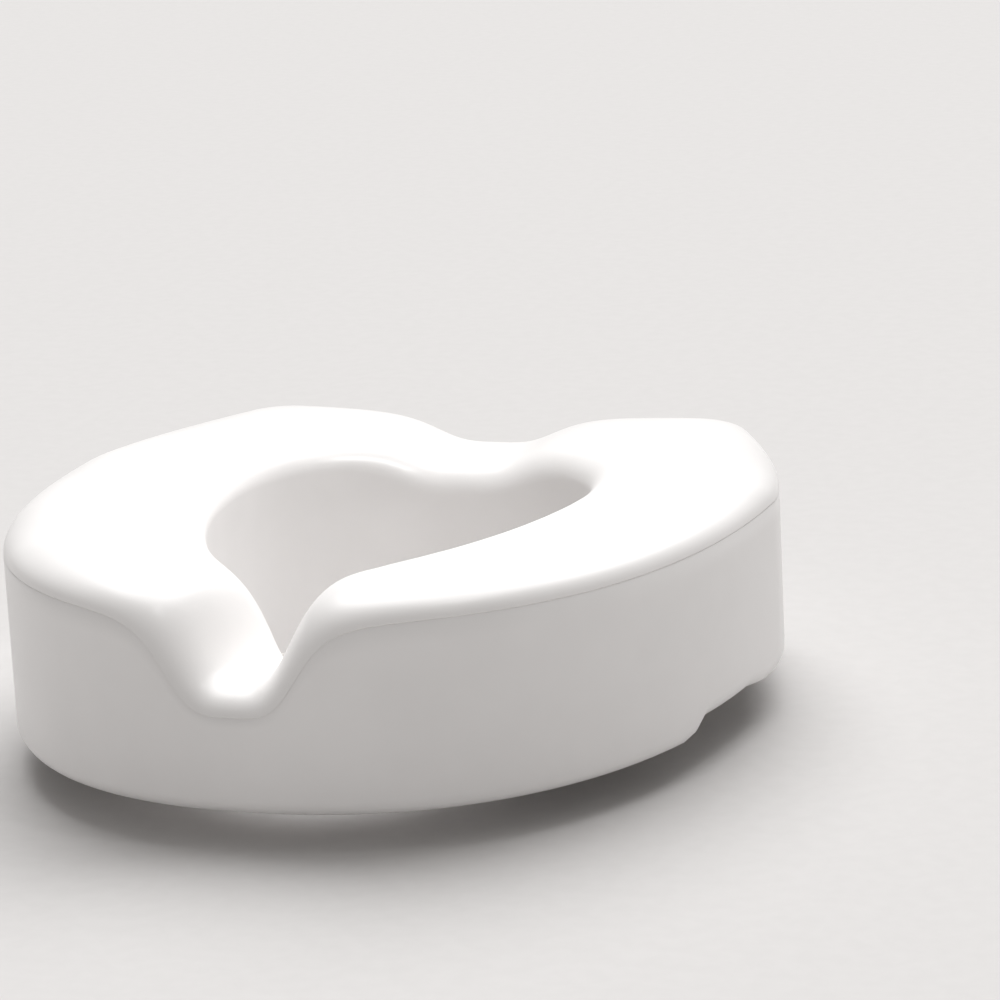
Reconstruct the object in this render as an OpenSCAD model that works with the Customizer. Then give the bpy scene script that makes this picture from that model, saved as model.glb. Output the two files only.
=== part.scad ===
// Raised toilet seat: a hollow moulded seat body that stands on the rim of a toilet bowl,
// with rubber pads under it and a screw clamp on each side that holds it inside the bowl.
// Millimetres. X is across the seat, +Y points to the back, Z is up from the chute's foot.

/* [Seat body] */
// Width of the seat at its widest
seat_w = 410; // [390:5:430]
// Depth of the seat from front to back
seat_d = 420; // [400:5:440]
// Height of the body from the skirt's foot to the top of the seat
body_h = 114; // [104:1:124]
// How far behind the middle the seat is widest
wide_back = 62; // [50:1:75]
// Roundness of the front outline at the sides, 2 is an ellipse
front_side_power = 2.2; // [2:0.1:2.6]
// Roundness of the front outline at the nose, 2 is an ellipse
front_nose_power = 2.35; // [2:0.05:2.6]
// Length of the straight edge at the back
back_edge_w = 260; // [240:5:270]
// Radius of the back corners
back_corner_r = 28; // [22:1:32]
// How far the sides lean in where they meet the back corners, in degrees
back_corner_lean = 30; // [24:1:34]
// How far the back wall leans out at its foot
back_flare = 2.4; // [0:0.2:4]

/* [Seat top] */
// Width of the rounded outer shoulder
shoulder_w = 26; // [20:1:30]
// Height of the rounded outer shoulder, down to the moulding's parting line
shoulder_h = 13.6; // [10:0.2:16]
// Width of the roll into the opening
roll_w = 18; // [12:1:22]
// Height of the roll into the opening
roll_h = 12; // [7:1:16]
// How far the seat dishes down by the wall of the opening
dish = 6; // [3:0.5:9]
// Depth of the hygiene recess at the front
recess_depth = 49; // [40:1:54]
// Half width of the hygiene recess at the outer wall
recess_half_w = 51; // [42:1:54]
// Half width of the hygiene recess at the opening
recess_inner_half_w = 17; // [14:1:24]
// Depth of the dip at the back
back_dip_depth = 17.8; // [10:0.1:20]
// Half width of the dip at the back
back_dip_half_w = 42; // [36:1:48]

/* [Opening] */
// Width of the opening between its inner walls
open_w = 200; // [190:2:210]
// Distance from the front of the seat to the front of the opening
open_front = 88; // [82:1:92]
// Distance from the back of the seat to the back of the opening
open_back = 78; // [74:1:84]
// How far behind the middle the opening is widest
open_wide_back = 42; // [36:1:48]

/* [Underside] */
// Wall thickness of the hollow body
wall = 3.2; // [2.6:0.1:4]
// Overlap of the skirt over the outside of the bowl's rim
skirt_overlap = 14; // [12:1:16]
// Thickness of the skirt's leg
leg_w = 14; // [12:1:16]
// Radius along the skirt's foot
foot_r = 9; // [6:1:10]
// Depth of the chute below the rim of the bowl
chute_depth = 32; // [31:1:36]
// Thickness of the chute
chute_w = 12; // [10:0.5:13]
// Height of the finger cut-outs in the sides of the skirt
cutout_h = 9; // [7:1:11]
// Front end of the finger cut-outs
cutout_front = -51; // [-60:1:-40]
// Back end of the finger cut-outs
cutout_back = 34; // [20:1:50]
// How much higher the skirt's foot is behind the finger cut-outs
rear_lift = 4.6; // [0:0.2:7]

/* [Pads and plug] */
// Diameter of a rim pad
pad_d = 26; // [22:1:30]
// Thickness of a rim pad
pad_h = 5; // [4:0.5:6]
// Diameter of the plug's head
plug_head_d = 14; // [12:1:18]

/* [Side clamps] */
// Diameter of the clamp screw
screw_d = 8; // [6:1:8]
// Outer diameter of the threaded insert
insert_d = 13; // [12:0.5:14]
// Diameter across the wing knob's wings
knob_d = 28; // [24:1:28]
// Diameter of the clamp's jaw
jaw_d = 24; // [20:1:26]
// Thickness of the rubber on the jaw
jaw_pad_h = 3; // [2:0.5:4]
// Travel of the clamp
clamp_travel = 5; // [4:0.5:6]

/* [Hidden] */

$fn = 48;
eps = 0.01;
stem_clearance = 0.1;
running_clearance = 0.05;

// Heights, counted from the chute's foot
rim_z = chute_depth;
ledge_z = rim_z + pad_h;
skirt_z = rim_z - skirt_overlap;
top_z = skirt_z + body_h;

// Plan of the body
half_w = seat_w / 2;
front_d = wide_back + seat_d / 2;
back_y = seat_d / 2 - back_flare;
corner_y = back_y - back_corner_r;
corner_x = back_edge_w / 2;

// Plan of the opening
open_half_w = open_w / 2;
open_front_d = open_wide_back + seat_d / 2 - open_front;
open_back_d = seat_d / 2 - open_back - open_wide_back;
open_side_power = 1.9;
open_nose_power = 1.75;
open_back_power = 2.4;

// Where the chute begins and where it is at full depth, as shares of the opening's half width
chute_from = 0.52;
chute_full = 0.74;

// Number of sections round half of the body, and of points round each curve of a section
front_steps = 22;
side_steps = 5;
corner_steps = 4;
edge_steps = 8;
back_steps = side_steps + corner_steps + edge_steps;
nose_crowding = 1.6;
round_steps = 5;
foot_steps = 3;

// Shape of the dips in the top: the recess is a broad U at the outer wall and a narrow V at the opening
recess_sharpness = 3.8;
recess_inner_sharpness = 2.4;
recess_narrowing = 0.28;
recess_softening = 3;
back_dip_sharpness = 3.8;

// Clamps: places along X on the right-hand side
clamp_y = open_wide_back;
clamp_z = chute_depth / 2;
chute_inner_x = open_half_w;
chute_outer_x = open_half_w + chute_w;
insert_proud = 1;
clamp_gap = 1;
knob_h = 14;
knob_x = chute_inner_x - insert_proud - clamp_travel - clamp_gap - knob_h;
jaw_gap = 0.4;
jaw_x = chute_outer_x + insert_proud + jaw_gap;
jaw_h = 3.4;

// Places of the pads on the right-hand side, and of the plug
front_pad = [110, -106];
rear_pad = [122, 143];
plug_y = 176;
plug_stem_d = 9;
plug_head_h = 1.6;
plug_stem_h = 6;

// Smooth step from 0 to 1
function smooth(x) = let (c = max(0, min(1, x))) c * c * (3 - 2 * c);

// One quarter of a rounded outline, from its widest point to its nose
function quarter(half_width, length, side_power, nose_power, angle) =
    [half_width * pow(cos(angle), 2 / side_power), length * pow(sin(angle), 2 / nose_power)];

// Angles along the front quarter, crowded at the nose where the recess is
function front_angle(i) = 90 * (1 - pow(i / front_steps, nose_crowding));

// Outer wall: front quarter, side, back corner and back edge, each drawn in by inset
function front_outer(i, inset) =
    let (p = quarter(half_w - inset, front_d - inset, front_side_power, front_nose_power, front_angle(i)))
    [p.x, wide_back - p.y];

function side_end(inset) =
    [corner_x + (back_corner_r - inset) * cos(back_corner_lean),
     corner_y + (back_corner_r - inset) * sin(back_corner_lean)];

function side_outer(s, inset) =
    let (end = side_end(inset), narrowing = half_w - inset - end.x, run = end.y - wide_back)
    let (power = tan(back_corner_lean) * run / narrowing)
    [half_w - inset - narrowing * pow(s, power), wide_back + run * s];

function corner_outer(s, inset) =
    let (a = back_corner_lean + (90 - back_corner_lean) * s)
    [corner_x + (back_corner_r - inset) * cos(a), corner_y + (back_corner_r - inset) * sin(a)];

function edge_outer(s, inset) = [corner_x * (1 - s), back_y - inset];

function outer_half(inset) = concat(
    [for (i = [0:front_steps]) front_outer(i, inset)],
    [for (i = [1:side_steps]) side_outer(i / side_steps, inset)],
    [for (i = [1:corner_steps]) corner_outer(i / corner_steps, inset)],
    [for (i = [1:edge_steps]) edge_outer(i / edge_steps, inset)]);

// Wall of the opening, moved away from the opening by inset
function front_inner(i, inset) =
    let (p = quarter(open_half_w + inset, open_front_d + inset,
                     open_side_power, open_nose_power, front_angle(i)))
    [p.x, open_wide_back - p.y];

function back_inner(i, inset) =
    let (p = quarter(open_half_w + inset, open_back_d + inset,
                     open_back_power, open_back_power, 90 * i / back_steps))
    [p.x, open_wide_back + p.y];

function inner_half(inset) = concat(
    [for (i = [0:front_steps]) front_inner(i, inset)],
    [for (i = [1:back_steps]) back_inner(i, inset)]);

// A half outline and its mirror image, as one closed ring
function whole_ring(half) = concat(half, [for (i = [len(half) - 2:-1:1]) [-half[i].x, half[i].y]]);

// Value part of the way from a to b
function mix(a, b, share) = a + (b - a) * share;

// Height lost to the hygiene recess and to the dip at the back
function soft_dip(x, depth, half_width, sharpness) = depth / (1 + pow(abs(x) / half_width, sharpness));

function recess(x, y) =
    let (share = max(0, min(1, (y + seat_d / 2) / open_front)))
    soft_dip(x, recess_depth, mix(recess_half_w, recess_inner_half_w, pow(share, recess_narrowing)),
             mix(recess_sharpness, recess_inner_sharpness, pow(share, recess_softening)))
    * (1 - smooth((y + seat_d / 4) / (seat_d / 4)));

function back_dip(x, y) =
    soft_dip(x, back_dip_depth, back_dip_half_w, back_dip_sharpness) * smooth(y / (seat_d / 5));

function land_z(p) = top_z - recess(p.x, p.y) - back_dip(p.x, p.y);

// Foot of the skirt: higher behind the finger cut-outs, and cut up to the ledge over the bowl's deck
function skirt_foot_z(p) =
    let (foot = skirt_z + rear_lift * smooth((p.y - cutout_back) / foot_r + 1),
         deck = smooth((p.y - corner_y) / foot_r) * smooth((corner_x + foot_r - abs(p.x)) / (2 * foot_r)))
    mix(foot, ledge_z - 1, deck);

// Foot of the chute: full depth at the sides, none at the front and the back
function chute_foot_z(p) =
    ledge_z * (1 - smooth((abs(p.x) / open_half_w - chute_from) / (chute_full - chute_from)));

// Profile of the seat's top as [distance from the outer wall, drop below the land]
function top_profile(length, inset) =
    let (outer_w = shoulder_w - inset, outer_h = shoulder_h - inset,
         inner_w = roll_w - inset, inner_h = roll_h - inset,
         dished_w = length - outer_w, land_w = dished_w - inner_w)
    concat(
        [for (i = [0:round_steps]) let (a = 90 * i / round_steps)
            [outer_w * (1 - cos(a)), outer_h * (1 - sin(a)) + inset]],
        [for (t = [1 / 3, 2 / 3]) let (d = land_w * t)
            [outer_w + d, dish * pow(d / dished_w, 2) + inset]],
        [for (i = [0:round_steps]) let (a = 90 * i / round_steps, d = land_w + inner_w * sin(a))
            [outer_w + d, dish * pow(d / dished_w, 2) + inner_h * (1 - cos(a)) + inset]]);

function along(from, to, distance) = from + (to - from) * distance / norm(to - from);

function top_points(from, to, inset) =
    [for (q = top_profile(norm(to - from), inset))
        let (p = along(from, to, q[0])) [p.x, p.y, land_z(p) - q[1]]];

// One section of the outside, from the ledge out round the skirt, over the top and down the chute
function skin_section(from, to) =
    let (foot = skirt_foot_z(from), chute = chute_foot_z(to), length = norm(to - from),
         flare = [0, back_flare * smooth((from.y - wide_back) / (back_y - wide_back))],
         under = [
            [leg_w + 2, ledge_z],
            [leg_w, foot],
            for (i = [0:foot_steps]) let (a = 90 * i / foot_steps)
                [foot_r * (1 - sin(a)), foot + foot_r * (1 - cos(a))]],
         bowl_side = [
            [length, chute],
            [length - chute_w, chute],
            [length - chute_w - 2, ledge_z]])
    concat(
        [for (q = under) let (p = along(from, to, q[0]) + flare * (top_z - q[1]) / body_h) [p.x, p.y, q[1]]],
        top_points(from, to, 0),
        [for (q = bowl_side) let (p = along(from, to, q[0])) [p.x, p.y, q[1]]]);

// One section of the hollow inside the body
function hollow_section(from, to) = concat(
    [[from.x, from.y, ledge_z + wall]],
    top_points(from, to, wall),
    [[to.x, to.y, ledge_z + wall]]);

// A closed ring skinned over its sections
module ring_solid(sections) {
    count = len(sections);
    width = len(sections[0]);
    polyhedron(
        points = [for (s = sections) each s],
        faces = [for (i = [0:count - 1], j = [0:width - 1])
            let (a = i * width + j, b = i * width + (j + 1) % width,
                 c = ((i + 1) % count) * width + (j + 1) % width, d = ((i + 1) % count) * width + j)
            each [[a, b, c], [a, c, d]]]);
}

module body_skin() {
    outer = whole_ring(outer_half(0));
    inner = whole_ring(inner_half(0));
    ring_solid([for (i = [0:len(outer) - 1]) skin_section(outer[i], inner[i])]);
}

module body_hollow() {
    outer = whole_ring(outer_half(wall));
    inner = whole_ring(inner_half(wall));
    ring_solid([for (i = [0:len(outer) - 1]) hollow_section(outer[i], inner[i])]);
}

// Runs its children on the right-hand side, or mirrored on the left-hand side
module on_side(side) {
    mirror([side == "left" ? 1 : 0, 0, 0]) children();
}

// A cylinder along +X from x, on the clamp's axis
module clamp_rod(x, length, d) {
    translate([x, clamp_y, clamp_z]) rotate([0, 90, 0]) cylinder(h = length, d = d);
}

// The hollow body with its cut-outs, held to its overall width
module blown_body() {
    resize([seat_w, 0, 0]) difference() {
        body_skin();
        body_hollow();
        for (side = ["left", "right"]) on_side(side) finger_cutout();
        translate([0, plug_y, ledge_z - 1]) cylinder(h = wall + 2, d = plug_stem_d);
    }
}

module seat_shell() {
    color("white") difference() {
        blown_body();
        for (side = ["left", "right"]) on_side(side)
            clamp_rod(chute_inner_x - 2 * wall, chute_w + 4 * wall, insert_d);
    }
}

// Hollow under the edge of the skirt where fingers lift the seat
module finger_cutout() {
    translate([half_w - 2 * leg_w, cutout_front, skirt_z - 1])
        cube([3 * leg_w, cutout_back - cutout_front, cutout_h + 1]);
}

// Rubber foot bonded under the body, between the seat and the bowl's rim
module rim_pad(place) {
    chamfer = 1;
    color("dimgray") translate([place.x, place.y, rim_z]) {
        cylinder(h = chamfer, d1 = pad_d - 2 * chamfer, d2 = pad_d);
        translate([0, 0, chamfer]) cylinder(h = pad_h - chamfer, d = pad_d);
    }
}

// Plug in the hole that the body was blown through
module vent_plug() {
    color("whitesmoke") translate([0, plug_y, ledge_z]) {
        translate([0, 0, -plug_head_h]) cylinder(h = plug_head_h, d = plug_head_d);
        translate([0, 0, -eps]) cylinder(h = plug_stem_h, d = plug_stem_d - 2 * stem_clearance);
    }
}

module threaded_insert() {
    color("goldenrod") difference() {
        clamp_rod(chute_inner_x - insert_proud, chute_w + 2 * insert_proud, insert_d);
        clamp_rod(chute_inner_x - 2, chute_w + 4, screw_d + 2 * running_clearance);
    }
}

module clamp_screw() {
    color("lightgray") clamp_rod(knob_x + knob_h / 2, jaw_x + jaw_h / 2 - knob_x - knob_h / 2, screw_d);
}

// Knob with two wings, moulded on the end of the screw
module wing_knob() {
    hub_d = 17;
    wing_h = 10;
    wing_t = 5;
    color("whitesmoke") difference() {
        union() {
            clamp_rod(knob_x, knob_h, hub_d);
            translate([knob_x, clamp_y - knob_d / 2 + wing_t / 2, clamp_z - wing_t / 2])
                cube([wing_h, knob_d - wing_t, wing_t]);
            for (end = [-1, 1])
                translate([knob_x, clamp_y + end * (knob_d - wing_t) / 2, clamp_z])
                    rotate([0, 90, 0]) cylinder(h = wing_h, d = wing_t);
        }
        clamp_rod(knob_x + knob_h / 2, knob_h, screw_d);
    }
}

// Plate that the screw pushes outwards
module clamp_jaw() {
    color("gainsboro") difference() {
        clamp_rod(jaw_x, jaw_h, jaw_d);
        clamp_rod(jaw_x - 1, 1 + jaw_h / 2, screw_d + 2 * running_clearance);
    }
}

module jaw_pad() {
    groove = 1;
    color("dimgray") difference() {
        clamp_rod(jaw_x + jaw_h, jaw_pad_h, jaw_d);
        for (z = [-2:2])
            translate([jaw_x + jaw_h + jaw_pad_h - groove, clamp_y - jaw_d / 2,
                       clamp_z + z * jaw_d / 6 - groove / 2])
                cube([2 * groove, jaw_d, groove]);
    }
}

seat_shell();
vent_plug();
on_side("left") rim_pad(front_pad);  // rim_pad_front_left
rim_pad(front_pad);  // rim_pad_front_right
on_side("left") rim_pad(rear_pad);  // rim_pad_rear_left
rim_pad(rear_pad);  // rim_pad_rear_right
on_side("left") threaded_insert();  // threaded_insert_left
on_side("left") clamp_screw();  // clamp_screw_left
on_side("left") wing_knob();  // wing_knob_left
on_side("left") clamp_jaw();  // clamp_jaw_left
on_side("left") jaw_pad();  // jaw_pad_left
threaded_insert();  // threaded_insert_right
clamp_screw();  // clamp_screw_right
wing_knob();  // wing_knob_right
clamp_jaw();  // clamp_jaw_right
jaw_pad();  // jaw_pad_right
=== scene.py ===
"""Raised toilet seat: the looks of the moulded body, its rubber pads, its plug and its two side clamps,
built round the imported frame. Metres, in the frame's own axes: +X right, +Y to the back, +Z up."""

import math

import bpy
from bpy.props import FloatProperty, FloatVectorProperty, IntProperty, PointerProperty
from mathutils import Matrix, Vector


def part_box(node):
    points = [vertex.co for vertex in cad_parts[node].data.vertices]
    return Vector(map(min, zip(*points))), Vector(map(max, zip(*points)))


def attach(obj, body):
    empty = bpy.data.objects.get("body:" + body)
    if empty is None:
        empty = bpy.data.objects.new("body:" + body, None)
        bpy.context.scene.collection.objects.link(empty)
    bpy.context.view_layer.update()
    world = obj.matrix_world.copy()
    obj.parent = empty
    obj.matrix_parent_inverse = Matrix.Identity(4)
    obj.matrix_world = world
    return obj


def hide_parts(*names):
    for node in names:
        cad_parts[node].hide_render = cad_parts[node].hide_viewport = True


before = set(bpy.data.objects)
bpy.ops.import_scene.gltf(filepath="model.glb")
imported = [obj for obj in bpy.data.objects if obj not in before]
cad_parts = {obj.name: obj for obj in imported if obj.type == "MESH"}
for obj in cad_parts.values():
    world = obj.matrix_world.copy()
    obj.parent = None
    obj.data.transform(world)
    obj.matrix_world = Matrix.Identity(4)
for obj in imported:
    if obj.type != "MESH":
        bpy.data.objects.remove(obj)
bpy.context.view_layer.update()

bl_info = {
    "name": "Raised Toilet Seat",
    "version": (1, 0, 0),
    "blender": (4, 5, 0),
    "location": "View3D > Sidebar > Seat",
    "description": "Builds the visible pieces of a raised toilet seat round its packed frame",
    "category": "Add Mesh",
}

SIDES = {"left": -1, "right": 1}


# ---------------------------------------------------------------------------
# Sizes that come from the frame
# ---------------------------------------------------------------------------

def box_size(node):
    """Width, depth and height of a node."""
    low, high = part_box(node)
    return Vector(high) - Vector(low)


def box_middle(node):
    """Middle of a node's box."""
    low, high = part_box(node)
    return (Vector(low) + Vector(high)) / 2


def mm(value):
    """Millimetres to metres."""
    return value / 1000


SHELL_HIGH = Vector(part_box("seat_shell")[1])
PAD_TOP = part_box("rim_pad_front_right")[1][2]
CLAMP_AXIS = box_middle("clamp_screw_right")
KNOB_WING_HEIGHT = mm(10)
KNOB_WING_HALF_THICKNESS = mm(2.5)
KNOB_HUB_RADIUS = mm(8.5)
THREAD_CLEARANCE = mm(0.05)
WELD_DISTANCE = 1e-6
SHARP_EDGE = math.radians(50)


# ---------------------------------------------------------------------------
# Properties that a user would change
# ---------------------------------------------------------------------------

class SeatBodySettings(bpy.types.PropertyGroup):
    """Shape of the moulded body."""
    shoulder_width: FloatProperty(name="Shoulder width", default=mm(26), unit="LENGTH",
                                  description="Width of the rounded outer shoulder")
    shoulder_height: FloatProperty(name="Shoulder height", default=mm(13.6), unit="LENGTH",
                                   description="Height of the shoulder above the parting line")
    roll_width: FloatProperty(name="Roll width", default=mm(18), unit="LENGTH",
                              description="Width of the roll into the opening")
    roll_height: FloatProperty(name="Roll height", default=mm(12), unit="LENGTH",
                               description="Height of the roll into the opening")
    dish: FloatProperty(name="Dish", default=mm(6), unit="LENGTH",
                        description="How far the seat dishes down by the wall of the opening")
    recess_depth: FloatProperty(name="Recess depth", default=mm(49), unit="LENGTH",
                                description="Depth of the hygiene recess at the front")
    recess_half_width: FloatProperty(name="Recess half width", default=mm(51), unit="LENGTH",
                                     description="Half width of the recess at the outer wall")
    recess_inner_half_width: FloatProperty(name="Recess inner half width", default=mm(17), unit="LENGTH",
                                           description="Half width of the recess at the opening")
    back_dip_depth: FloatProperty(name="Back dip depth", default=mm(17.8), unit="LENGTH",
                                  description="Depth of the dip at the back")
    back_dip_half_width: FloatProperty(name="Back dip half width", default=mm(42), unit="LENGTH",
                                       description="Half width of the dip at the back")
    opening_width: FloatProperty(name="Opening width", default=mm(200), unit="LENGTH",
                                 description="Width between the walls of the opening")
    skirt_rise: FloatProperty(name="Finger cut-out height", default=mm(9), unit="LENGTH",
                              description="Height of the finger cut-out in each side of the skirt")
    seam_width: FloatProperty(name="Parting line width", default=mm(0.9), unit="LENGTH",
                              description="Width of the fine groove where the mould halves met")
    stations: IntProperty(name="Sections", default=60, min=30, max=120,
                          description="Sections along each quarter of the body")


class SeatFittingSettings(bpy.types.PropertyGroup):
    """Shape of the pads, the plug and the side clamps."""
    edge_radius: FloatProperty(name="Edge radius", default=mm(0.7), unit="LENGTH",
                               description="Rounding along the edges of the moulded fittings")
    thread_pitch: FloatProperty(name="Thread pitch", default=mm(1.25), unit="LENGTH",
                                description="Advance of the clamp screw in one turn")
    thread_depth: FloatProperty(name="Thread depth", default=mm(0.7), unit="LENGTH",
                                description="Depth of the screw's thread")
    pad_grooves: IntProperty(name="Pad grooves", default=3, min=1, max=5,
                             description="Rings cut in the foot of each rubber pad")


class SeatStageSettings(bpy.types.PropertyGroup):
    """Camera and lights."""
    view_azimuth: FloatProperty(name="Camera azimuth", default=math.radians(20.22), subtype="ANGLE",
                                description="How far the camera stands to the right of the front")
    view_elevation: FloatProperty(name="Camera elevation", default=math.radians(14.28), subtype="ANGLE",
                                  description="How far the camera looks down")
    view_roll: FloatProperty(name="Camera roll", default=math.radians(2.92), subtype="ANGLE",
                             description="How far the camera leans")
    view_distance: FloatProperty(name="Camera distance", default=2.205, unit="LENGTH",
                                 description="Distance from the camera to the point it looks at")
    lens: FloatProperty(name="Lens", default=145.9, description="Focal length in millimetres")
    target: FloatVectorProperty(name="Target", default=(0.0567, 0.0393, 0.1195), subtype="XYZ",
                                description="Point that the camera looks at")
    overhead: FloatProperty(name="Overhead light", default=3.3,
                            description="Strength of the soft overhead light")
    overhead_tilt: FloatProperty(name="Overhead tilt", default=math.radians(31), subtype="ANGLE",
                                 description="How far the overhead light leans to the back")
    inner_light: FloatProperty(name="Inner light", default=30, unit="POWER",
                               description="Power of the lamp that shines into the opening")
    softness: FloatProperty(name="Softness", default=math.radians(60), subtype="ANGLE",
                            description="How wide the overhead light looks from the floor")
    surround: FloatProperty(name="Surround", default=0.35,
                            description="Strength of the even light all round")


# ---------------------------------------------------------------------------
# Shape of the moulded body
# ---------------------------------------------------------------------------

def smooth(x):
    """Smooth step from 0 to 1."""
    x = min(1.0, max(0.0, x))
    return x * x * (3 - 2 * x)


def mix(a, b, share):
    """Value part of the way from a to b."""
    return a + (b - a) * share


def quarter_turn(steps):
    """Angles of a quarter turn in even steps, with both ends."""
    return [math.pi / 2 * i / steps for i in range(steps + 1)]


def quarter(half_width, length, side_power, nose_power, angle):
    """Point of one quarter of a rounded outline, from its widest point to its nose."""
    return (half_width * abs(math.cos(angle)) ** (2 / side_power),
            length * abs(math.sin(angle)) ** (2 / nose_power))


class Body:
    """The plan and the sections of the moulded body, worked out from the settings and the frame."""
    back_edge_width = mm(260)
    corner_radius = mm(28)
    corner_lean = math.radians(30)
    back_flare = mm(2.4)
    wide_back = mm(62)
    front_side_power = 2.2
    front_nose_power = 2.35
    opening_front = mm(88)
    opening_back = mm(78)
    opening_wide_back = mm(42)
    opening_side_power = 1.9
    opening_nose_power = 1.75
    opening_back_power = 2.4
    skirt_height = mm(18)
    leg_width = mm(14)
    foot_radius = mm(9)
    inner_round = mm(3)
    ledge_margin = mm(2)
    deck_margin = mm(1)
    cutout_front = mm(-52)
    cutout_slope = mm(7)
    cutout_back = mm(25)
    chute_width = mm(12)
    chute_lip = mm(3)
    chute_from = 0.52
    chute_full = 0.74
    recess_sharpness = 3.8
    recess_inner_sharpness = 2.4
    recess_narrowing = 0.28
    recess_softening = 3
    back_dip_sharpness = 3.8
    back_dip_reach = 0.4
    nose_crowding = 1.6
    side_share = 0.32
    corner_share = 0.22
    back_edge_share = 0.46
    rear_lift = mm(4.6)
    seam_depth = mm(0.45)

    def __init__(self, settings):
        self.settings = settings
        self.half_width = SHELL_HIGH.x
        self.half_depth = mm(210)
        self.top = SHELL_HIGH.z
        self.ledge = PAD_TOP
        self.front_depth = self.wide_back + self.half_depth
        self.back_y = self.half_depth - self.back_flare
        self.corner_x = self.back_edge_width / 2
        self.corner_y = self.back_y - self.corner_radius
        self.opening_half_width = settings.opening_width / 2
        self.opening_front_depth = self.opening_wide_back + self.half_depth - self.opening_front
        self.opening_back_depth = self.half_depth - self.opening_back - self.opening_wide_back

    def side_point(self, share):
        """Outer wall from the widest point back to the corner, share from 0 to 1."""
        end_x = self.corner_x + self.corner_radius * math.cos(self.corner_lean)
        end_y = self.corner_y + self.corner_radius * math.sin(self.corner_lean)
        narrowing = self.half_width - end_x
        run = end_y - self.wide_back
        power = math.tan(self.corner_lean) * run / narrowing
        return Vector((self.half_width - narrowing * share ** power, self.wide_back + run * share))

    def corner_point(self, share):
        """Back corner, share from 0 to 1."""
        angle = self.corner_lean + (math.pi / 2 - self.corner_lean) * share
        return Vector((self.corner_x + self.corner_radius * math.cos(angle),
                       self.corner_y + self.corner_radius * math.sin(angle)))

    def outlines(self):
        """Right half of the outer wall and of the opening's wall, from the nose to the back."""
        outer, inner = [], []
        count = self.settings.stations
        for i in range(count + 1):
            angle = math.pi / 2 * (1 - (i / count) ** self.nose_crowding)
            x, y = quarter(self.half_width, self.front_depth,
                           self.front_side_power, self.front_nose_power, angle)
            outer.append(Vector((x, self.wide_back - y)))
            x, y = quarter(self.opening_half_width, self.opening_front_depth,
                           self.opening_side_power, self.opening_nose_power, angle)
            inner.append(Vector((x, self.opening_wide_back - y)))
        side = round(count * self.side_share)
        corner = round(count * self.corner_share)
        edge = round(count * self.back_edge_share)
        outer += [self.side_point(i / side) for i in range(1, side + 1)]
        outer += [self.corner_point(i / corner) for i in range(1, corner + 1)]
        outer += [Vector((self.corner_x * (1 - i / edge), self.back_y)) for i in range(1, edge + 1)]
        back = side + corner + edge
        for i in range(1, back + 1):
            x, y = quarter(self.opening_half_width, self.opening_back_depth,
                           self.opening_back_power, self.opening_back_power, math.pi / 2 * i / back)
            inner.append(Vector((x, self.opening_wide_back + y)))
        return outer, inner

    def soft_dip(self, x, depth, half_width, sharpness):
        """Drop of a rounded dip at a distance from its middle."""
        return depth / (1 + (abs(x) / half_width) ** sharpness)

    def recess(self, p):
        """Drop of the hygiene recess: a broad U at the outer wall, a narrow V at the opening."""
        share = min(1.0, max(0.0, (p.y + self.half_depth) / self.opening_front))
        half_width = mix(self.settings.recess_half_width, self.settings.recess_inner_half_width,
                         share ** self.recess_narrowing)
        sharpness = mix(self.recess_sharpness, self.recess_inner_sharpness, share ** self.recess_softening)
        drop = self.soft_dip(p.x, self.settings.recess_depth, half_width, sharpness)
        return drop * (1 - smooth((p.y + self.half_depth / 2) / (self.half_depth / 2)))

    def back_dip(self, p):
        """Drop of the dip at the back."""
        drop = self.soft_dip(p.x, self.settings.back_dip_depth, self.settings.back_dip_half_width,
                             self.back_dip_sharpness)
        return drop * smooth(p.y / (self.half_depth * self.back_dip_reach))

    def land(self, p):
        """Height of the seat's top before its edges are rounded."""
        return self.top - self.recess(p) - self.back_dip(p)

    def skirt_foot(self, p):
        """Height of the skirt's foot: raised over the finger cut-outs and cut away along the back."""
        rise = self.settings.skirt_rise
        foot = self.skirt_height
        foot += rise * smooth((p.y - self.cutout_front) / self.cutout_slope)
        foot -= (rise - self.rear_lift) * smooth((p.y - self.cutout_back) / self.foot_radius)
        deck = smooth((p.y - self.corner_y) / self.foot_radius)
        deck *= smooth((self.corner_x + self.foot_radius - abs(p.x)) / (2 * self.foot_radius))
        return mix(foot, self.ledge - self.deck_margin, deck)

    def chute_foot(self, p):
        """Height of the chute's foot: full depth at the sides, none at the front and the back."""
        share = abs(p.x) / self.opening_half_width - self.chute_from
        return self.ledge * (1 - smooth(share / (self.chute_full - self.chute_from)))

    def section(self, start, end):
        """One closed section, from the ledge out round the skirt, over the top and down the chute."""
        settings = self.settings
        across = end - start
        length = across.length
        foot = self.skirt_foot(start)
        chute = self.chute_foot(end)
        flare = self.back_flare * smooth((start.y - self.wide_back) / (self.back_y - self.wide_back))
        body_height = self.top - self.skirt_height
        points = []

        def under(distance, z):
            p = start + across * (distance / length)
            points.append(Vector((p.x, p.y + flare * (self.top - z) / body_height, z)))

        def over(distance, drop):
            p = start + across * (distance / length)
            points.append(Vector((p.x, p.y, self.land(p) - drop)))

        # The ledge under the top, from the chute out to the skirt
        ledge_width = length - self.leg_width - self.chute_width - 2 * self.ledge_margin
        for i in range(4, -1, -1):
            under(self.leg_width + self.ledge_margin + ledge_width * i / 4, self.ledge)
        # The skirt's foot, rounded a little inside and broadly outside
        for angle in quarter_turn(3):
            under(self.leg_width - self.inner_round * (1 - math.cos(angle)),
                  foot + self.inner_round * (1 - math.sin(angle)))
        for angle in quarter_turn(8):
            under(self.foot_radius * (1 - math.sin(angle)), foot + self.foot_radius * (1 - math.cos(angle)))
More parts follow.
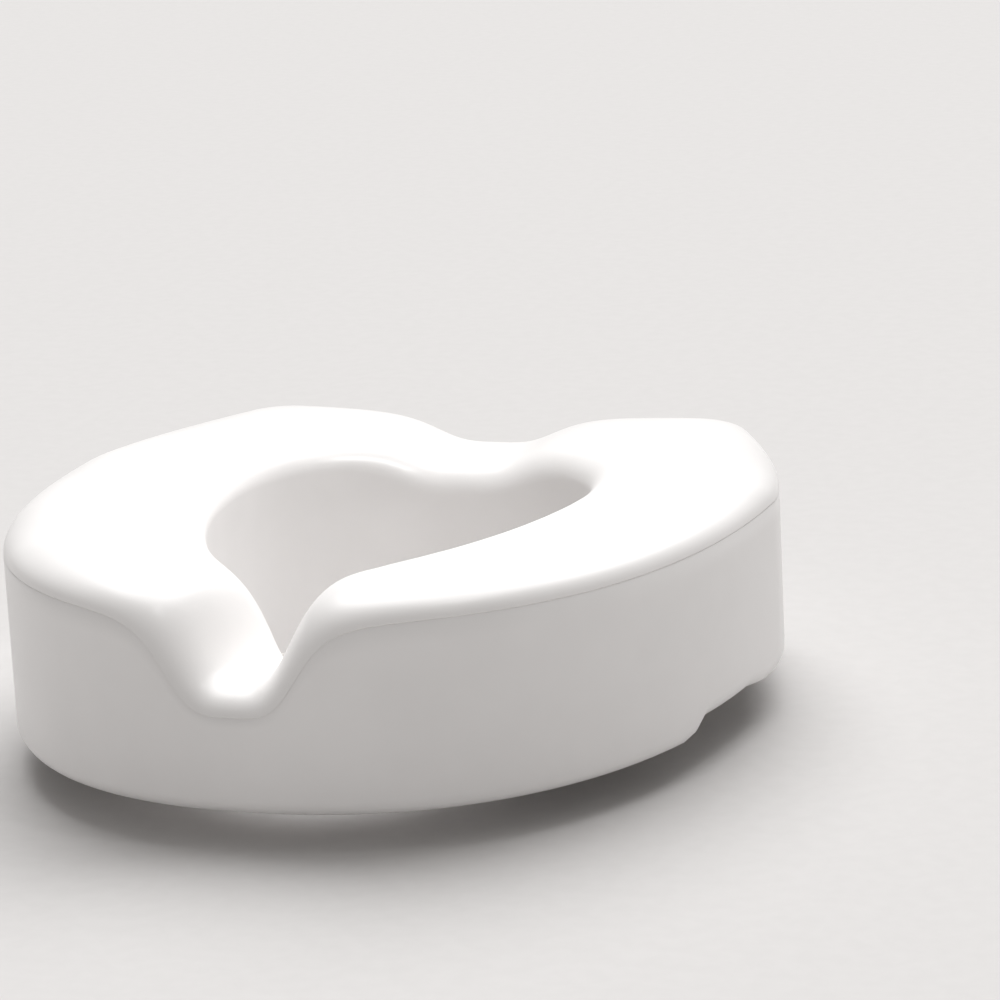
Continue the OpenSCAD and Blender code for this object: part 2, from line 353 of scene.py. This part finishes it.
        # The outer wall, the parting groove and the shoulder
        seam = settings.seam_width / 2
        wall_foot = foot + self.foot_radius
        wall_top = self.land(start) - settings.shoulder_height - seam
        for i in range(1, 9):
            under(0, mix(wall_foot, wall_top, i / 8))
        over(self.seam_depth, settings.shoulder_height)
        over(0, settings.shoulder_height - seam)
        shoulder = settings.shoulder_width
        for angle in quarter_turn(12)[1:]:
            over(shoulder * (1 - math.cos(angle)), settings.shoulder_height * (1 - math.sin(angle)))
        # The dished top and its roll into the opening
        dished = length - shoulder
        flat = dished - settings.roll_width
        for i in range(1, 12):
            along = flat * i / 12
            over(shoulder + along, settings.dish * (along / dished) ** 2)
        for angle in quarter_turn(14):
            along = flat + settings.roll_width * math.sin(angle)
            drop = settings.roll_height * (1 - math.cos(angle))
            over(shoulder + along, settings.dish * (along / dished) ** 2 + drop)
        # The chute's wall and its foot
        chute_top = points[-1].z
        for i in range(1, 8):
            under(length, mix(chute_top, chute, i / 8))
        lip = self.chute_lip
        for angle in quarter_turn(4):
            under(length - lip * (1 - math.cos(angle)), chute + lip * (1 - math.sin(angle)))
        for angle in quarter_turn(4):
            under(length - self.chute_width + lip * (1 - math.sin(angle)),
                  chute + lip * (1 - math.cos(angle)))
        return points

    def sections(self):
        """Closed sections all round the body: the right half, then its mirror image."""
        outer, inner = self.outlines()
        half = [self.section(a, b) for a, b in zip(outer, inner)]
        mirrored = [[Vector((-p.x, p.y, p.z)) for p in section] for section in half[-2:0:-1]]
        return half + mirrored


def select_none():
    """Leaves nothing selected, so an operator acts only on the new piece."""
    if bpy.context.object and bpy.context.object.mode != "OBJECT":
        bpy.ops.object.mode_set(mode="OBJECT")
    bpy.ops.object.select_all(action="DESELECT")


def new_piece(name):
    """Names the primitive that was just added."""
    piece = bpy.context.object
    piece.name = name
    piece.data.name = name
    return piece


def wrap_grid(name, rings):
    """A grid wrapped round closed sections and round the ring that they stand in."""
    select_none()
    width, count = len(rings[0]), len(rings)
    bpy.ops.mesh.primitive_grid_add(x_subdivisions=width, y_subdivisions=count, size=1)
    piece = new_piece(name)
    for j in range(count + 1):
        for i in range(width + 1):
            piece.data.vertices[j * (width + 1) + i].co = rings[j % count][i % width]
    bpy.ops.object.mode_set(mode="EDIT")
    bpy.ops.mesh.select_all(action="SELECT")
    bpy.ops.mesh.remove_doubles(threshold=WELD_DISTANCE)
    bpy.ops.mesh.normals_make_consistent(inside=False)
    bpy.ops.object.mode_set(mode="OBJECT")
    bpy.ops.object.shade_smooth_by_angle(angle=SHARP_EDGE)
    return piece


# ---------------------------------------------------------------------------
# Pads, plug and clamps
# ---------------------------------------------------------------------------

def wrap_turned(name, rings):
    """Wraps sections that begin and end on an axis, and clears the edge left along the axis."""
    piece = wrap_grid(name, rings)
    bpy.ops.object.mode_set(mode="EDIT")
    bpy.ops.mesh.select_all(action="SELECT")
    bpy.ops.mesh.delete_loose()
    bpy.ops.object.mode_set(mode="OBJECT")
    return piece


def turned(name, profile, place, count=72):
    """A piece turned from a profile; place gives the point for a distance along, a radius and an angle."""
    rings = []
    for j in range(count):
        angle = 2 * math.pi * j / count
        rings.append([place(along, radius, angle) for along, radius in profile])
    return wrap_turned(name, rings)


def upright(centre):
    """Places a profile round a vertical axis."""
    def place(along, radius, angle):
        return Vector((centre.x + radius * math.cos(angle), centre.y + radius * math.sin(angle), along))
    return place


def sideways(side):
    """Places a profile round the axis of the clamp on one side, turned so that it points outwards."""
    out = SIDES[side]

    def place(along, radius, angle):
        return Vector((out * along, CLAMP_AXIS.y + out * radius * math.cos(angle),
                       CLAMP_AXIS.z + radius * math.sin(angle)))
    return place


def span(kind):
    """Inner end, outer end and radius of a clamp piece, measured on the right-hand side."""
    low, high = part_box(f"{kind}_right")
    return low[0], high[0], (high[2] - low[2]) / 2


def rounding(along, radius, size, start, steps=4):
    """Quarter round in a profile, round the corner that lies at along and radius."""
    centre_along = along + (size if start else -size)
    points = []
    for angle in quarter_turn(steps):
        if start:
            points.append((centre_along - size * math.cos(angle), radius - size + size * math.sin(angle)))
        else:
            points.append((centre_along + size * math.sin(angle), radius - size + size * math.cos(angle)))
    return points


def pad_profile(low, high, radius, edge, grooves):
    """Foot of a rubber pad with rings cut in it, then its rounded side and its flat top."""
    depth, mouth, floor = mm(0.8), mm(0.7), mm(0.42)
    points = [(low, 0)]
    for i in range(1, grooves + 1):
        middle = radius * i / (grooves + 1)
        points += [(low, middle - mouth), (low + depth, middle - floor),
                   (low + depth, middle + floor), (low, middle + mouth)]
    return points + rounding(low, radius, edge, True) + [(high, radius), (high, 0)]


def wing_radius(angle, reach):
    """Radius of the knob at an angle: a round hub drawn out into two wings with round ends."""
    across = abs(math.sin(angle))
    end = reach - KNOB_WING_HALF_THICKNESS
    if across < KNOB_WING_HALF_THICKNESS / end:
        cap = KNOB_WING_HALF_THICKNESS ** 2 - (end * across) ** 2
        wing = end * abs(math.cos(angle)) + math.sqrt(max(0, cap))
    else:
        wing = KNOB_WING_HALF_THICKNESS / across
    crispness = 14
    blend = (wing ** crispness + KNOB_HUB_RADIUS ** crispness) ** (1 / crispness)
    return min(blend, reach)


def wing_knob_rings(side, edge):
    """Sections of the wing knob, each from the middle of its face round to the middle of its back."""
    start, end, _ = span("wing_knob")
    low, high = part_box("wing_knob_right")
    reach = (high[1] - low[1]) / 2
    shoulder = start + KNOB_WING_HEIGHT
    hollow_floor, hollow_lip = start + mm(2.5), start + mm(0.3)
    soft_edge, crease = edge * 1.6, edge * 0.4
    place = sideways(side)
    count = 160
    rings = []
    for j in range(count):
        angle = 2 * math.pi * j / count
        radius = wing_radius(angle, reach)
        profile = [(hollow_floor, 0), (hollow_floor, mm(4.4)), (hollow_lip, mm(5)), (start, mm(5.4))]
        profile += rounding(start, radius, soft_edge, True)
        profile += rounding(shoulder, radius, soft_edge, False)
        profile += [(shoulder + crease, KNOB_HUB_RADIUS)]
        profile += [*rounding(end, KNOB_HUB_RADIUS, soft_edge, False), (end, 0)]
        rings.append([place(along, r, angle) for along, r in profile])
    return rings


def thread_rings(side, pitch, depth):
    """Sections of the clamp screw, their radius rising and falling along a right-handed helix."""
    start, end, radius = span("clamp_screw")
    place = sideways(side)
    count, per_pitch = 40, 10
    lead, chamfer = mm(1.2), mm(0.4)
    crest, flank_width = 0.15, 0.7
    steps = round((end - start) / pitch * per_pitch)
    rings = []
    for j in range(count):
        angle = 2 * math.pi * j / count
        section = [place(start, 0, angle)]
        for i in range(steps + 1):
            along = start + (end - start) * i / steps
            phase = ((along - start) / pitch - j / count) % 1
            flank = smooth((abs(2 * phase - 1) - crest) / flank_width)
            taper = max(0, min(1, (end - along) / lead, (along - start) / lead))
            section.append(place(along, radius - mix(chamfer, depth * flank, taper), angle))
        section.append(place(end, 0, angle))
        rings.append(section)
    return rings


# ---------------------------------------------------------------------------
# Materials
# ---------------------------------------------------------------------------

def hex_colour(text):
    """sRGB hex to linear RGBA."""
    values = [int(text[i:i + 2], 16) / 255 for i in (0, 2, 4)]
    linear = [v / 12.92 if v <= 0.04045 else ((v + 0.055) / 1.055) ** 2.4 for v in values]
    return (*linear, 1.0)


def add_node(tree, kind, settings=None, inputs=None, links=None):
    """Adds a node with its settings, its input values and the links into it."""
    node = tree.nodes.new(kind)
    for key, value in (settings or {}).items():
        setattr(node, key, value)
    for key, value in (inputs or {}).items():
        node.inputs[key].default_value = value
    for key, source in (links or {}).items():
        tree.links.new(source, node.inputs[key])
    return node


def start_material(name):
    """A new material, its tree, its shader and its object coordinates."""
    material = bpy.data.materials.new(name)
    material.use_nodes = True
    tree = material.node_tree
    shader = next(n for n in tree.nodes if n.type == "BSDF_PRINCIPLED")
    coords = add_node(tree, "ShaderNodeTexCoord").outputs["Object"]
    return material, tree, shader, coords


def polyethylene_blown_white():
    """Blow-moulded high-density polyethylene: bright white, soft gloss and faint orange peel from
    the mould."""
    material, tree, shader, coords = start_material("polyethylene_blown_white")
    shader.inputs["IOR"].default_value = 1.53
    peel = add_node(tree, "ShaderNodeTexNoise", inputs={"Scale": 220, "Detail": 2}, links={"Vector": coords})
    cloud = add_node(tree, "ShaderNodeTexNoise", inputs={"Scale": 14, "Detail": 3}, links={"Vector": coords})
    tint = add_node(tree, "ShaderNodeValToRGB", links={"Fac": cloud.outputs["Fac"]})
    tint.color_ramp.elements[0].position = 0.3
    tint.color_ramp.elements[0].color = hex_colour("EFEDEC")
    tint.color_ramp.elements[1].position = 0.7
    tint.color_ramp.elements[1].color = hex_colour("F4F2F1")
    tree.links.new(tint.outputs["Color"], shader.inputs["Base Color"])
    gloss = add_node(tree, "ShaderNodeMapRange", inputs={"To Min": 0.30, "To Max": 0.38},
                     links={"Value": cloud.outputs["Fac"]})
    tree.links.new(gloss.outputs["Result"], shader.inputs["Roughness"])
    bump = add_node(tree, "ShaderNodeBump", inputs={"Strength": 0.06, "Distance": 0.0004},
                    links={"Height": peel.outputs["Fac"]})
    tree.links.new(bump.outputs["Normal"], shader.inputs["Normal"])
    return material


def speckled(material_name, dark, light, grain_mm, rough, bump_mm, ior=1.5, metallic=0.0):
    """A material whose tint follows a soft stain, and whose gloss and relief follow a fine grain."""
    gloss_spread = 0.06
    material, tree, shader, coords = start_material(material_name)
    shader.inputs["Metallic"].default_value = metallic
    if not metallic:
        shader.inputs["IOR"].default_value = ior
    grain = add_node(tree, "ShaderNodeTexNoise", links={"Vector": coords},
                     inputs={"Scale": 1000 / grain_mm, "Detail": 3, "Roughness": 0.6})
    stain = add_node(tree, "ShaderNodeTexNoise", inputs={"Scale": 90, "Detail": 4}, links={"Vector": coords})
    tint = add_node(tree, "ShaderNodeValToRGB", links={"Fac": stain.outputs["Fac"]})
    tint.color_ramp.elements[0].position = 0.35
    tint.color_ramp.elements[0].color = hex_colour(dark)
    tint.color_ramp.elements[1].position = 0.65
    tint.color_ramp.elements[1].color = hex_colour(light)
    tree.links.new(tint.outputs["Color"], shader.inputs["Base Color"])
    gloss = add_node(tree, "ShaderNodeMapRange", links={"Value": grain.outputs["Fac"]},
                     inputs={"To Min": rough - gloss_spread, "To Max": rough + gloss_spread})
    tree.links.new(gloss.outputs["Result"], shader.inputs["Roughness"])
    bump = add_node(tree, "ShaderNodeBump", inputs={"Strength": 0.35, "Distance": mm(bump_mm)},
                    links={"Height": grain.outputs["Fac"]})
    tree.links.new(bump.outputs["Normal"], shader.inputs["Normal"])
    return material


def polyethylene_moulded_plug():
    """Injection-moulded polyethylene: a little greyer and duller than the blown body."""
    return speckled("polyethylene_moulded_plug", "DCDAD8", "E4E2E0", 1.2, 0.45, 0.05, ior=1.53)


def rubber_moulded_grey():
    """Moulded rubber: dark, dull, with a fine gritty skin."""
    return speckled("rubber_moulded_grey", "48484A", "58585A", 0.6, 0.78, 0.12)


def brass_turned():
    """Turned brass: warm metal with slightly dulled patches."""
    return speckled("brass_turned", "B08F4C", "C9A962", 0.4, 0.30, 0.03, metallic=1.0)


def steel_thread_rolled():
    """Stainless steel with a rolled thread: bright, with a satin finish along the flanks."""
    return speckled("steel_thread_rolled", "A5A6A8", "BBBCBE", 0.5, 0.32, 0.03, metallic=1.0)


def nylon_moulded_knob():
    """Injection-moulded nylon: off-white, satin, with the mould's fine spark texture."""
    return speckled("nylon_moulded_knob", "D6D4D0", "E0DEDA", 0.8, 0.48, 0.08, ior=1.53)


def nylon_moulded_jaw():
    """Glass-filled nylon: light grey and duller, with a slightly fibrous skin."""
    return speckled("nylon_moulded_jaw", "B9B8B6", "C8C7C4", 0.9, 0.58, 0.10, ior=1.53)


def floor_paper():
    """Matt studio paper: pale, with a faint tooth."""
    return speckled("floor_paper", "CECCCB", "D0CECD", 3.0, 0.85, 0.05)


# ---------------------------------------------------------------------------
# Operators
# ---------------------------------------------------------------------------

FLOOR_SIZE = 16
OVERHEAD_SIDE_LEAN = math.radians(-4)
LAMP_PLACE = Vector((0.45, -0.15, 1.2))
LAMP_AIM = Vector((-0.01, 0.0, 0.09))
LAMP_SPREAD = math.radians(18)
LAMP_SOFT_RIM = 0.7
LAMP_RADIUS = 0.08


def fit(piece, material, body, node):
    """Gives a piece its material and the body it rides on, and hides the CAD node that it stands for."""
    piece.data.materials.append(material)
    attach(piece, body)
    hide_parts(node)


class SEAT_OT_body(bpy.types.Operator):
    """Builds the moulded body of the seat"""
    bl_idname = "seat.body"
    bl_label = "Moulded body"

    def execute(self, context):
        body = Body(context.scene.seat_body)
        piece = wrap_grid("moulded_seat_body", body.sections())
        fit(piece, polyethylene_blown_white(), "seat", "seat_shell")
        return {"FINISHED"}


class SEAT_OT_pads(bpy.types.Operator):
    """Builds the four rubber pads that stand on the rim of the bowl"""
    bl_idname = "seat.pads"
    bl_label = "Rim pads"

    def execute(self, context):
        fittings = context.scene.seat_fittings
        rubber = rubber_moulded_grey()
        for row in ("front", "rear"):
            for side in SIDES:
                node = f"rim_pad_{row}_{side}"
                low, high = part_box(node)
                profile = pad_profile(low[2], high[2], box_size(node).x / 2,
                                      fittings.edge_radius, fittings.pad_grooves)
                piece = turned(f"rubber_{node}", profile, upright(box_middle(node)))
                fit(piece, rubber, "seat", node)
        return {"FINISHED"}


class SEAT_OT_plug(bpy.types.Operator):
    """Builds the plug in the hole that the body was blown through"""
    bl_idname = "seat.plug"
    bl_label = "Vent plug"

    def execute(self, context):
        low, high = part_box("vent_plug")
        radius = box_size("vent_plug").x / 2
        edge = context.scene.seat_fittings.edge_radius
        rim = mm(2)
        stem, stem_tip = mm(4.3), mm(3.6)
        profile = [(low[2] + edge, 0), (low[2] + edge, radius - rim - edge), (low[2], radius - rim)]
        profile += rounding(low[2], radius, edge, True)
        profile += [(PAD_TOP, radius), (PAD_TOP, stem), (high[2] - edge, stem), (high[2], stem_tip),
                    (high[2], 0)]
        piece = turned("moulded_vent_plug", profile, upright(box_middle("vent_plug")))
        fit(piece, polyethylene_moulded_plug(), "seat", "vent_plug")
        return {"FINISHED"}


class SEAT_OT_inserts(bpy.types.Operator):
    """Builds the brass inserts that the clamp screws turn in"""
    bl_idname = "seat.inserts"
    bl_label = "Threaded inserts"

    def execute(self, context):
        brass = brass_turned()
        screw_radius = span("clamp_screw")[2]
        start, end, radius = span("threaded_insert")
        bore = screw_radius + THREAD_CLEARANCE
        lead, chamfer = mm(0.5), mm(0.3)
        profile = [(start + lead, bore), (start, bore + lead), (start, radius - chamfer),
                   (start + chamfer, radius), (end - chamfer, radius), (end, radius - chamfer),
                   (end, bore + lead), (end - lead, bore)]
        for side in SIDES:
            piece = turned(f"brass_insert_{side}", profile, sideways(side))
            fit(piece, brass, "seat", f"threaded_insert_{side}")
        return {"FINISHED"}


class SEAT_OT_screws(bpy.types.Operator):
    """Builds the two clamp screws with their threads"""
    bl_idname = "seat.screws"
    bl_label = "Clamp screws"

    def execute(self, context):
        fittings = context.scene.seat_fittings
        steel = steel_thread_rolled()
        for side in SIDES:
            rings = thread_rings(side, fittings.thread_pitch, fittings.thread_depth)
            piece = wrap_turned(f"steel_screw_{side}", rings)
            fit(piece, steel, f"hand_screw_{side}", f"clamp_screw_{side}")
        return {"FINISHED"}


class SEAT_OT_knobs(bpy.types.Operator):
    """Builds the two wing knobs"""
    bl_idname = "seat.knobs"
    bl_label = "Wing knobs"

    def execute(self, context):
        nylon = nylon_moulded_knob()
        for side in SIDES:
            rings = wing_knob_rings(side, context.scene.seat_fittings.edge_radius)
            piece = wrap_turned(f"nylon_knob_{side}", rings)
            fit(piece, nylon, f"hand_screw_{side}", f"wing_knob_{side}")
        return {"FINISHED"}


class SEAT_OT_jaws(bpy.types.Operator):
    """Builds the plates that the screws push outwards"""
    bl_idname = "seat.jaws"
    bl_label = "Clamp jaws"

    def execute(self, context):
        nylon = nylon_moulded_jaw()
        edge = context.scene.seat_fittings.edge_radius
        start, end, radius = span("clamp_jaw")
        socket = span("clamp_screw")[2] + THREAD_CLEARANCE
        socket_floor = start + (end - start) / 2
        chamfer, groove = mm(0.3), mm(0.4)
        groove_in, groove_out = radius * 0.7, radius * 0.86
        profile = [(socket_floor, 0), (socket_floor, socket), (start + chamfer, socket),
                   (start, socket + chamfer)]
        profile += [(start, groove_in), (start + groove, groove_in + groove),
                    (start + groove, groove_out), (start, groove_out + groove)]
        profile += [*rounding(start, radius, edge, True), (end, radius), (end, 0)]
        for side in SIDES:
            piece = turned(f"nylon_jaw_{side}", profile, sideways(side))
            fit(piece, nylon, f"jaw_{side}", f"clamp_jaw_{side}")
        return {"FINISHED"}


class SEAT_OT_jaw_pads(bpy.types.Operator):
    """Gives the ribbed pads on the clamp jaws their rubber"""
    bl_idname = "seat.jaw_pads"
    bl_label = "Jaw pads"

    def execute(self, context):
        rubber = rubber_moulded_grey()
        for side in SIDES:
            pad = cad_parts[f"jaw_pad_{side}"]
            for material_slot in pad.material_slots:
                material_slot.material = rubber
        return {"FINISHED"}


class SEAT_OT_stage(bpy.types.Operator):
    """Builds the floor, the lights and the camera"""
    bl_idname = "seat.stage"
    bl_label = "Stage"

    def execute(self, context):
        stage = context.scene.seat_stage
        select_none()
        bpy.ops.mesh.primitive_plane_add(size=FLOOR_SIZE, location=(0, 0, 0))
        floor = new_piece("floor")
        floor.data.materials.append(floor_paper())
        back = Vector((math.sin(stage.view_azimuth) * math.cos(stage.view_elevation),
                       -math.cos(stage.view_azimuth) * math.cos(stage.view_elevation),
                       math.sin(stage.view_elevation)))
        turn = (-back).to_track_quat("-Z", "Y")
        roll = Matrix.Rotation(-stage.view_roll, 3, "Z").to_quaternion()
        place = Vector(stage.target) + back * stage.view_distance
        bpy.ops.object.camera_add(location=place, rotation=(turn @ roll).to_euler())
        context.object.data.lens = stage.lens
        context.scene.camera = context.object
        lean = (-stage.overhead_tilt, OVERHEAD_SIDE_LEAN, 0)
        bpy.ops.object.light_add(type="SUN", location=(0, 0, 2), rotation=lean)
        context.object.data.energy = stage.overhead
        context.object.data.angle = stage.softness
        aim = (LAMP_AIM - LAMP_PLACE).to_track_quat("-Z", "Y").to_euler()
        bpy.ops.object.light_add(type="SPOT", location=LAMP_PLACE, rotation=aim)
        context.object.data.energy = stage.inner_light
        context.object.data.spot_size = LAMP_SPREAD
        context.object.data.spot_blend = LAMP_SOFT_RIM
        context.object.data.shadow_soft_size = LAMP_RADIUS
        world = bpy.data.worlds.new("studio")
        world.use_nodes = True
        world.node_tree.nodes["Background"].inputs["Color"].default_value = hex_colour("FFFDFB")
        world.node_tree.nodes["Background"].inputs["Strength"].default_value = stage.surround
        context.scene.world = world
        context.scene.view_settings.view_transform = "Standard"
        return {"FINISHED"}


OPERATORS = (SEAT_OT_stage, SEAT_OT_body, SEAT_OT_pads, SEAT_OT_plug, SEAT_OT_inserts, SEAT_OT_screws,
             SEAT_OT_knobs, SEAT_OT_jaws, SEAT_OT_jaw_pads)


class SEAT_PT_panel(bpy.types.Panel):
    """Lists the pieces that can be built"""
    bl_idname = "SEAT_PT_panel"
    bl_label = "Raised Toilet Seat"
    bl_space_type = "VIEW_3D"
    bl_region_type = "UI"
    bl_category = "Seat"

    def draw(self, context):
        for operator in OPERATORS:
            self.layout.operator(operator.bl_idname)
        for settings in (context.scene.seat_body, context.scene.seat_fittings, context.scene.seat_stage):
            box = self.layout.box()
            for name in settings.__annotations__:
                box.prop(settings, name)


SETTINGS = {
    "seat_body": SeatBodySettings,
    "seat_fittings": SeatFittingSettings,
    "seat_stage": SeatStageSettings,
}
CLASSES = (*SETTINGS.values(), *OPERATORS, SEAT_PT_panel)


def register():
    for cls in CLASSES:
        bpy.utils.register_class(cls)
    for name, settings in SETTINGS.items():
        setattr(bpy.types.Scene, name, PointerProperty(type=settings))


def unregister():
    for name in SETTINGS:
        delattr(bpy.types.Scene, name)
    for cls in reversed(CLASSES):
        bpy.utils.unregister_class(cls)


def main():
    register()
    bpy.ops.seat.stage()
    bpy.ops.seat.body()
    bpy.ops.seat.pads()
    bpy.ops.seat.plug()
    bpy.ops.seat.inserts()
    bpy.ops.seat.screws()
    bpy.ops.seat.knobs()
    bpy.ops.seat.jaws()
    bpy.ops.seat.jaw_pads()


if __name__ == "__main__":
    main()
